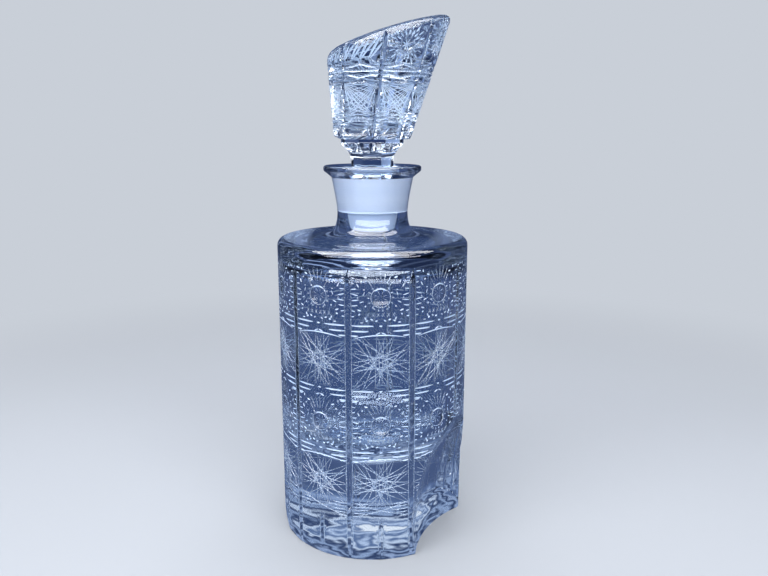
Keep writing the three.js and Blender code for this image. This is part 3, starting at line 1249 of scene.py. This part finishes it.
    def cut_wall(self, body: Piece) -> None:
        """Makes every cut of the wall, the deep ones first.

        Args:
            body: the blown and scooped body.
        """
        middles = self.panel_middles()
        gaps = [azimuth + 180 / self.panels for azimuth in middles]
        combine(body, self.grooves(self.mitre, gaps))
        for side in (-1, 1):
            combine(body, self.edge_lines(self.mitre, side, gaps))
            combine(body, self.edge_lines(self.foot_groove, side, middles))
        combine(body, self.grooves(self.foot_groove, middles))
        for height in self.lenses:
            combine(body, self.wrapped(self.polished(self.lens.solid()), height))
            combine(body, self.wrapped(self.flat(self.lens_crown()), height))
            dashes = self.flat(self.lens_dashes(), Surface.BOLD_CUT)
            combine(body, self.wrapped(dashes, height))
        for height in self.stars:
            combine(body, self.wrapped(self.flat(self.star_square()), height))
            arch = self.flat([self.arch], Surface.BOLD_CUT)
            combine(body, self.wrapped(arch, height + self.arch_above))
        for height in self.bands:
            combine(body, self.wrapped(self.flat(self.band(), Surface.BOLD_CUT), height))
        combine(body, self.wrapped(self.flat(self.lowest_band()), self.lowest_band_middle))

    def build(self) -> Piece:
        """Models the bottle.

        Returns:
            The finished piece, riding on the bottle's body.
        """
        body = self.polished(lathe(self.outside() + self.inside(), self.sides))
        step, spare = self.ground_bottom - self.ground_step, 0.05
        within = self.ground_radius + spare
        finish_faces(body, Surface.GROUND, step, self.ground_top, within)
        combine(body, self.polished(self.foot_prism()), Joining.TRIM)
        combine(body, self.scoop())
        self.cut_wall(body)
        body.rotation_euler = (0, 0, math.radians(self.turn))
        return finished(body, "bottle_glass", "bottle", "bottle")


# The stopper


@dataclass
class Stopper(CutGlass):
    """The stopper: a leaning cut head with a slanted top, on a collar, a stem and a ground plug."""

    sides: int = 96  # facets round the head and the plug
    plug_top: float = 187.0
    plug_length: float = 29.0
    plug_radius: float = 14.75  # at its top
    plug_taper: float = 0.1  # of radius for each millimetre down
    lip_top: float = 192.3
    stem_radius: float = 10.6
    stem_top: float = 195.3
    collar_bottom: float = 203.0
    sweep_hold: float = 0.4  # share of the sweep under the collar over which the stem stays upright
    collar_radius: float = 15.5
    head_bottom: float = 205.3
    head_radius: float = 19.2  # at its foot
    head_bevel: float = 1.7
    foot_shift: float = 1.4  # how far the head's underside sits towards +X
    head_flare: float = 0.208  # of radius for each millimetre up
    head_lean: float = 0.13  # towards +X for each millimetre up
    head_height: float = 50.3  # in the middle of the slanted top
    top_slope: float = 0.29  # rise of the top for each millimetre towards +X
    top_round: float = 5.0
    top_dome: tuple[Pair, ...] = ((2.5, 0.45), (3.5, 0.35), (4.5, 0.2))  # steps in and up
    panels: int = 8
    mitre: Pair = (1.8, 1.0)  # width and depth
    thumb: Lens = Lens(11.6, 4.2, 0.9)
    thumb_rise: float = 3.2  # rises are over the head's foot
    notch_rises: Pair = (9.8, 32.2)
    lattice_half: Pair = (7.0, 7.6)  # half its width and half its height
    lattice_rise: float = 18.5
    oval: Lens = Lens(6.6, 2.2, 0.8)
    oval_rise: float = 26.4
    top_lens: Lens = Lens(7.2, 7.2, 0.8)
    top_lens_below: float = 11.0  # from the slant down to the lens on the high side
    web_half: Pair = (6.3, 10.0)  # half the width and half the height of the star round it
    web_below: float = 13.0  # from the slant down to the star's middle
    drawn_below: float = 9.5  # and to where the lens and its rays keep their drawn width
    high_side: float = 51.0  # a panel that rises past this has a lens, and a lower one has leaves
    leaf_bottom: float = 35.5
    leaf_clear: float = 34.5  # of a low panel's rise, left to what is under its leaves

    def flare_at(self, rise: float) -> float:
        """Gives how many times as wide as its foot the head is at a rise above it."""
        return 1 + self.head_flare * rise / self.head_radius

    def slant_rise(self, azimuth: float) -> float:
        """Gives the rise at which an upright line of the head's wall meets the slanted top.

        Args:
            azimuth: degrees from -Y towards +X.

        Returns:
            The rise over the head's foot.
        """
        aim = math.sin(math.radians(azimuth))
        step = self.head_lean + self.head_flare * aim
        start = self.head_height + self.top_slope * (
            self.head_radius * aim - self.head_lean * self.head_height
        )
        return start / (1 - self.top_slope * step)

    def groove_azimuths(self) -> list[float]:
        """Gives the azimuth of each groove between two panels, in degrees."""
        return [360 / self.panels * k for k in range(self.panels)]

    def lean(self, piece: Piece) -> Piece:
        """Leans and widens an upright piece as the head does, with a cage of eight points.

        Args:
            piece: the piece, made as if the head were a straight drum.

        Returns:
            The same piece.
        """
        half, tall, below = 40.0, 80.0, 5  # the cage, which starts a little under the head
        middle = (0, 0, self.head_bottom + tall / 2 - below)
        bpy.ops.object.add(type="LATTICE", location=middle)
        cage = bpy.context.object
        cage.scale = (2 * half, 2 * half, tall)
        for axis in "uvw":
            setattr(cage.data, f"interpolation_type_{axis}", "KEY_LINEAR")
        for point in cage.data.points:
            rise = point.co.z * tall + tall / 2 - below
            grow = self.flare_at(rise)
            point.co_deform.x = point.co.x * grow + self.head_lean * rise / (2 * half)
            point.co_deform.y = point.co.y * grow
        only(piece)
        modifier = piece.modifiers.new("lean", "LATTICE")
        modifier.object = cage
        bpy.ops.object.modifier_apply(modifier=modifier.name)
        bpy.data.objects.remove(cage)
        return piece

    def head_blank(self) -> Piece:
        """Models the head before it is cut: a leaning drum, sliced at a slant and rounded there.

        Returns:
            The blank.
        """
        foot, radius, bevel = self.head_bottom, self.head_radius, self.head_bevel
        drum = foot + 70  # past the highest point of the slant
        profile = [(radius - bevel, foot), (radius, foot + bevel), (radius, drum)]
        blank = self.lean(lathe(profile, self.sides))
        with editing(blank, lambda face: face.normal.z < -LEVEL):
            bpy.ops.transform.translate(value=(self.foot_shift, 0, 0))
        slope = math.atan(self.top_slope)
        middle = (self.head_lean * self.head_height, 0, foot + self.head_height)
        normal = (-math.sin(slope), 0, math.cos(slope))
        with editing(blank):
            bpy.ops.mesh.bisect(plane_co=middle, plane_no=normal, use_fill=True, clear_outer=True)
        slant = max(blank.data.polygons, key=lambda face: face.center.z)
        rim = {tuple(sorted(key)) for key in slant.edge_keys}
        with editing(blank, lambda edge: tuple(sorted(edge.vertices)) in rim, edges=True):
            bpy.ops.mesh.bevel(offset=self.top_round, segments=6, profile=0.5)
        slant = max(blank.data.polygons, key=lambda face: face.area).index
        with editing(blank, lambda face: face.index == slant):
            for within, lift in self.top_dome:
                bpy.ops.mesh.inset(thickness=within, depth=lift)
        return self.polished(blank)

    def placed(self, flat: Piece, rise: float, azimuths: Iterable[float]) -> Piece:
        """Bends a flat tool round the head, copies it round and leans the copies with the head.

        Args:
            flat: the tool, laid out flat.
            rise: rise of its middle over the head's foot.
            azimuths: degrees from -Y towards +X, one for each copy.

        Returns:
            The tool.
        """
        bent = bend_round(flat, self.head_radius, self.head_bottom + rise)
        return self.lean(ring_of(bent, azimuths))

    def mitres(self) -> Piece:
        """Models the upright grooves between the head's panels.

        Returns:
            The tool.
        """
        width, depth = self.mitre
        tall, middle = 70, 32  # from under the head to over it
        bpy.ops.mesh.primitive_cylinder_add(
            vertices=V_SIDES,
            radius=1,
            depth=tall,
            location=(0, -self.head_radius, self.head_bottom + middle),
            scale=(width / 2, depth, 1),
        )
        tool = self.polished(settle(bpy.context.object))
        return self.lean(ring_of(tool, self.groove_azimuths()))

    def notches(self) -> list[Stroke]:
        """Lays out the three short level cuts across a groove."""
        return [Stroke(0, z, 8.5, 0, Wheel(1.3, 0.85)) for z in (-2.3, 0.0, 2.3)]

    def lattice(self) -> list[Stroke]:
        """Lays out a lower panel: long cuts that fan out from its four corners and cross.

        Returns:
            The strokes.
        """
        fine = Wheel(0.42, 0.3, 3)
        width, height = self.lattice_half
        fans: list[Stroke] = []
        for corner, count in ((height, 8), (-height, 4)):
            far, side = math.copysign(1, corner), 2 * height
            for k in range(count):
                way = 1.5 + k * (side + 8.5) / 7  # down the far side, then along the far end
                down = min(way, side)
                aim = (-width + way - down, far * (height - down))
                fans.append(Stroke.between((width, corner), aim, fine))
        return mirrored(fans)

    def pale_bands(self) -> list[Stroke]:
        """Lays out the broad cuts that frost a panel above its lattice and below it.

        Returns:
            The strokes.
        """
        broad, level = Wheel(1.5, 0.3, 4), Wheel(1.2, 0.5)
        above = [
            Stroke(side * 3.0, 10.8 + 2.1 * k, 8.8, side * (17 - 16 * k), broad)
            for k in range(3)
            for side in (-1, 1)
        ]
        return above + [Stroke(0, -9.3 - 1.5 * k, 13, 0, level, rise=1.3) for k in range(2)]

    def lens_strokes(self, squeeze: float) -> list[Stroke]:
        """Lays out rays in the head's lens and two rings of short cuts round it.

        Args:
            squeeze: width of the pattern as a share of its height.

        Returns:
            The strokes.
        """
        ray, petal = Wheel(0.5, 0.36), Wheel(0.6, 0.4, 3)
        reach, petals = 2.9, 18
        strokes: list[Stroke] = []
        for k in range(4):
            turn = math.radians(45 * k + 22.5)
            dx, dz = reach * squeeze * math.cos(turn), reach * math.sin(turn)
            strokes.append(Stroke.between((-dx, -dz), (dx, dz), ray, sink=0.4))
        for inner, outer, turned in ((4.0, 6.6, 0.5), (6.2, 9.4, 0.0)):
            for k in range(petals):
                turn = 2 * math.pi * (k + turned) / petals
                c, s = squeeze * math.cos(turn), math.sin(turn)
                strokes.append(Stroke.between((inner * c, inner * s), (outer * c, outer * s), petal))
        return strokes

    def leaves(self, room: float) -> list[Stroke]:
        """Lays out an upper panel on the low side: long leaf cuts that rise to the right.

        Args:
            room: height of the panel.

        Returns:
            The strokes.
        """
        leaf, vein = Wheel(0.8, 0.5, 5), Wheel(0.5, 0.34, 5)
        strokes = [Stroke(1.55 * k - 6.2, 0, room, 62 + 9 * (k % 2), leaf) for k in range(9)]
        veins = [Stroke(0, (k - 2) * room / 5, 12, 14 + 3 * k, vein) for k in range(5)]
        return strokes + veins

    def cut_upper_panel(self, head: Piece, azimuth: float) -> None:
        """Cuts one panel over the bands: lens, star and rays on the high side, leaves on the low.

        Args:
            head: the head.
            azimuth: the panel's middle.
        """
        rise = self.slant_rise(azimuth)
        if rise < self.high_side:
            room = rise - self.leaf_clear
            leaves = self.flat(self.leaves(room), Surface.BOLD_CUT)
            combine(head, self.placed(leaves, self.leaf_bottom + room / 2, [azimuth]))
            return
        squeeze = 1 / self.flare_at(rise - self.drawn_below)  # the lean widens it again
        web = self.flat(star(*self.web_half, points=20, skip=9, wheel=Wheel(0.4, 0.3, 3)))
        combine(head, self.placed(web, rise - self.web_below, [azimuth]))
        lens, up = self.top_lens, rise - self.top_lens_below
        lens = replace(lens, width=lens.width * squeeze, depth=lens.depth * squeeze)
        combine(head, self.placed(self.polished(lens.solid()), up, [azimuth]))
        rays = self.flat(self.lens_strokes(squeeze), Surface.BOLD_CUT)
        combine(head, self.placed(rays, up, [azimuth]))

    def cut_head(self, head: Piece) -> None:
        """Makes every cut of the head.

        Args:
            head: the blank of the head.
        """
        grooves = self.groove_azimuths()
        middles = [azimuth + 180 / self.panels for azimuth in grooves]
        combine(head, self.mitres())
        combine(head, self.placed(self.polished(self.thumb.solid()), self.thumb_rise, middles))
        for rise in self.notch_rises:
            combine(head, self.placed(self.flat(self.notches()), rise, grooves))
        combine(head, self.placed(self.flat(self.pale_bands()), self.lattice_rise, middles))
        lattice = self.flat(self.lattice(), Surface.BOLD_CUT)
        combine(head, self.placed(lattice, self.lattice_rise, middles))
        combine(head, self.placed(self.polished(self.oval.solid()), self.oval_rise, middles))
        for azimuth in middles:
            self.cut_upper_panel(head, azimuth)

    def collar(self) -> Piece:
        """Models the eight-sided stem and collar, from a little under lip level into the head.

        Returns:
            The closed solid.
        """
        corner = 1 / math.cos(math.pi / self.panels)
        slim, wide = corner * self.stem_radius, corner * self.collar_radius
        hold = self.stem_top + self.sweep_hold * (self.collar_bottom - self.stem_top)
        overlap, into_head = 0.3, 1.0
        edge = (0.25, 0.35)  # bevel of the collar's lower edge, in and up
        profile = [(slim, self.lip_top - overlap), (slim, self.stem_top)]
        under = (wide - edge[0], self.collar_bottom)
        profile += sweep(profile[-1], (slim, hold), under, steps=9)
        profile += [(wide, self.collar_bottom + edge[1]), (wide, self.head_bottom + into_head)]
        stem = lathe(profile, self.panels)
        stem.rotation_euler = (0, 0, math.pi / self.panels)
        return self.polished(settle(stem))

    def plug(self) -> Piece:
        """Models the ground plug with its rounded end and drawn-in top.

        Returns:
            The closed solid.
        """
        bottom = self.plug_top - self.plug_length
        end = self.plug_radius - self.plug_taper * self.plug_length
        neck = self.stem_radius - 0.4  # inside the stem's flats
        profile = [(end - 3.2, bottom), (end - 0.9, bottom + 0.25), (end, bottom + 1.1)]  # rounded
        profile.append((self.plug_radius, self.plug_top))
        half_way = (self.plug_top + self.lip_top) / 2
        profile += sweep(profile[-1], (neck, self.plug_top + 0.2), (neck, half_way), steps=7)
        profile.append((neck, self.lip_top + 1))
        plug = self.polished(lathe(profile, self.sides))
        finish_faces(plug, Surface.GROUND, bottom + 0.1, self.plug_top)  # all but its end
        return plug

    def build(self) -> Piece:
        """Models the stopper.

        Returns:
            The finished piece, riding on the stopper's body.
        """
        head = self.head_blank()
        self.cut_head(head)
        combine(head, self.collar(), Joining.UNITE)
        combine(head, self.plug(), Joining.UNITE)
        return finished(head, "stopper_glass", "stopper", "stopper")


def finished(piece: Piece, name: str, body: str, node: str) -> Piece:
    """Brings a piece to metres, shades it and hands it to the frame.

    Args:
        piece: the piece, in millimetres.
        name: its name.
        body: the body it rides on.
        node: the CAD node it stands for.

    Returns:
        The piece.
    """
    piece.name = piece.data.name = name
    piece.scale = (MM, MM, MM)
    settle(piece)
    bpy.ops.object.shade_smooth_by_angle(angle=math.radians(SMOOTH_BELOW))
    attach(piece, body)
    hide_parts(node)
    return piece


# The studio


class Sight(Enum):
    """What a lamp adds to the picture."""

    LIGHT = "its light alone"
    SHEEN = "its reflection alone"
    WHOLE = "its light, its reflection and the lamp seen through the glass"


@dataclass(frozen=True)
class Lamp:
    """A soft lamp that faces the decanter. It hangs in metres, as the studio does."""

    name: str
    place: tuple[float, float, float]
    size: Pair  # width and height
    watts: float
    sight: Sight

    def hang(self, aim: Vector) -> None:
        """Hangs the lamp.

        Args:
            aim: the point that it faces.
        """
        bpy.ops.object.light_add(type="AREA", location=self.place)
        lamp = bpy.context.object
        lamp.name = self.name
        lamp.data.shape = "RECTANGLE"
        lamp.data.size, lamp.data.size_y = self.size
        lamp.data.energy = self.watts
        lamp.visible_diffuse = self.sight is not Sight.SHEEN
        lamp.visible_glossy = self.sight is not Sight.LIGHT
        lamp.visible_transmission = self.sight is Sight.WHOLE
        lamp.rotation_euler = (aim - lamp.location).to_track_quat("-Z", "Y").to_euler()


@dataclass
class Studio:
    """Pale paper, soft lamps and the photograph's camera, in metres."""

    paper: StudioPaper
    lamps: tuple[Lamp, ...] = (
        Lamp("softbox_front", (-0.1, -0.6, 0.75), (2.0, 0.5), 30.0, Sight.WHOLE),
        Lamp("softbox_top", (0.0, 0.2, 0.95), (0.7, 0.7), 12.0, Sight.LIGHT),
        Lamp("bank_high", (0.0, -0.2, 1.0), (2.4, 0.5), 34.0, Sight.SHEEN),
        Lamp("bank_low", (0.0, -1.0, 0.4), (3.0, 0.3), 18.0, Sight.SHEEN),
    )
    lamp_aim: float = 0.13  # height of the point that the lamps face
    floor_radius: float = 6.0
    horizon: str = "#32426a"
    zenith: str = "#192440"
    window: str = "#9fb4dc"
    lens: float = 34.17  # millimetres, on a sensor 36 wide
    camera_height: float = 0.2097
    camera_distance: float = 0.375
    pitch: float = 12.217  # degrees down
    yaw: float = 0.904  # degrees to the right

    def floor(self) -> None:
        """Lays the paper that the decanter stands on."""
        bpy.ops.mesh.primitive_circle_add(vertices=96, radius=self.floor_radius, fill_type="NGON")
        floor = bpy.context.object
        floor.name = "floor"
        floor.data.materials.append(self.paper.material())

    def world(self) -> None:
        """Sets a dim room with tall windows on its left, and pale paper where the camera looks."""
        world = bpy.data.worlds.new("studio")
        bpy.context.scene.world = world
        world.use_nodes = True
        tree = world.node_tree
        tree.nodes.clear()
        toward = add_node(tree, "ShaderNodeTexCoord").outputs["Generated"]
        axes = add_node(tree, "ShaderNodeSeparateXYZ", links={"Vector": toward}).outputs
        climb = add_node(
            tree,
            "ShaderNodeMapRange",
            {"From Min": 0.05, "From Max": 0.35},
            {"Value": axes["Z"]},
        )
        room = add_node(
            tree,
            "ShaderNodeMix",
            {"A": linear(self.horizon), "B": linear(self.zenith)},
            {"Factor": climb.outputs["Result"]},
            data_type="RGBA",
        )
        walls = add_node(
            tree,
            "ShaderNodeTexWave",
            {"Scale": 1.1, "Distortion": 1.5, "Detail": 1.0},
            {"Vector": toward},
            wave_type="BANDS",
            bands_direction="X",
        )
        windows = add_node(
            tree,
            "ShaderNodeMapRange",
            {"From Min": 0.72, "From Max": 0.92},
            {"Value": walls.outputs["Fac"]},
        )
        left = add_node(
            tree,
            "ShaderNodeMapRange",
            {"From Min": 0.4, "From Max": -0.1, "To Min": 0.15},
            {"Value": axes["X"]},
        )
        share = add_node(
            tree,
            "ShaderNodeMath",
            links={0: windows.outputs["Result"], 1: left.outputs["Result"]},
            operation="MULTIPLY",
        )
        lit = add_node(
            tree,
            "ShaderNodeMix",
            {"B": linear(self.window)},
            {"Factor": share.outputs[0], "A": room.outputs["Result"]},
            data_type="RGBA",
        )
        seen = add_node(tree, "ShaderNodeLightPath").outputs["Is Camera Ray"]
        colour = add_node(
            tree,
            "ShaderNodeMix",
            {"B": linear(self.paper.pale)},
            {"Factor": seen, "A": lit.outputs["Result"]},
            data_type="RGBA",
        )
        back = add_node(tree, "ShaderNodeBackground", links={"Color": colour.outputs["Result"]})
        add_node(tree, "ShaderNodeOutputWorld", links={"Surface": back.outputs[0]})

    def camera(self) -> None:
        """Stands the camera where the photograph was taken from."""
        place = (0, -self.camera_distance, self.camera_height)
        turn = (math.radians(90 - self.pitch), 0, math.radians(-self.yaw))
        bpy.ops.object.camera_add(location=place, rotation=turn)
        camera = bpy.context.object
        camera.data.lens = self.lens
        camera.data.sensor_width = 36
        camera.data.clip_start = 0.01
        bpy.context.scene.camera = camera

    def build(self) -> None:
        """Sets up the whole studio."""
        self.floor()
        self.world()
        for lamp in self.lamps:
            lamp.hang(Vector((0, 0, self.lamp_aim)))
        self.camera()
        bpy.context.scene.view_settings.view_transform = "Standard"


def report(piece: Piece) -> None:
    """Reports a piece's faces, and how many have each finish.

    Args:
        piece: the finished piece.
    """
    faces = piece.data.polygons
    counts = {s.name: sum(face.material_index == s for face in faces) for s in Surface}
    log.info("%s: %d faces, by finish %s", piece.name, len(faces), counts)


def main() -> None:
    """Builds the decanter and its studio."""
    logging.basicConfig(level=logging.INFO, format="%(name)s: %(message)s")
    bpy.ops.object.select_all(action="DESELECT")
    glass = [
        PolishedCrystal().material(),
        FineCutCrystal().material(),
        FineCutCrystal("lead_crystal_bold_cut", "#c6d9f0", (0.25, 0.5), 0.36).material(),
        GroundCrystal().material(),
    ]
    report(Bottle(glass).build())
    report(Stopper(glass).build())
    Studio(StudioPaper()).build()
    bpy.ops.object.select_all(action="DESELECT")


if __name__ == "__main__":
    main()
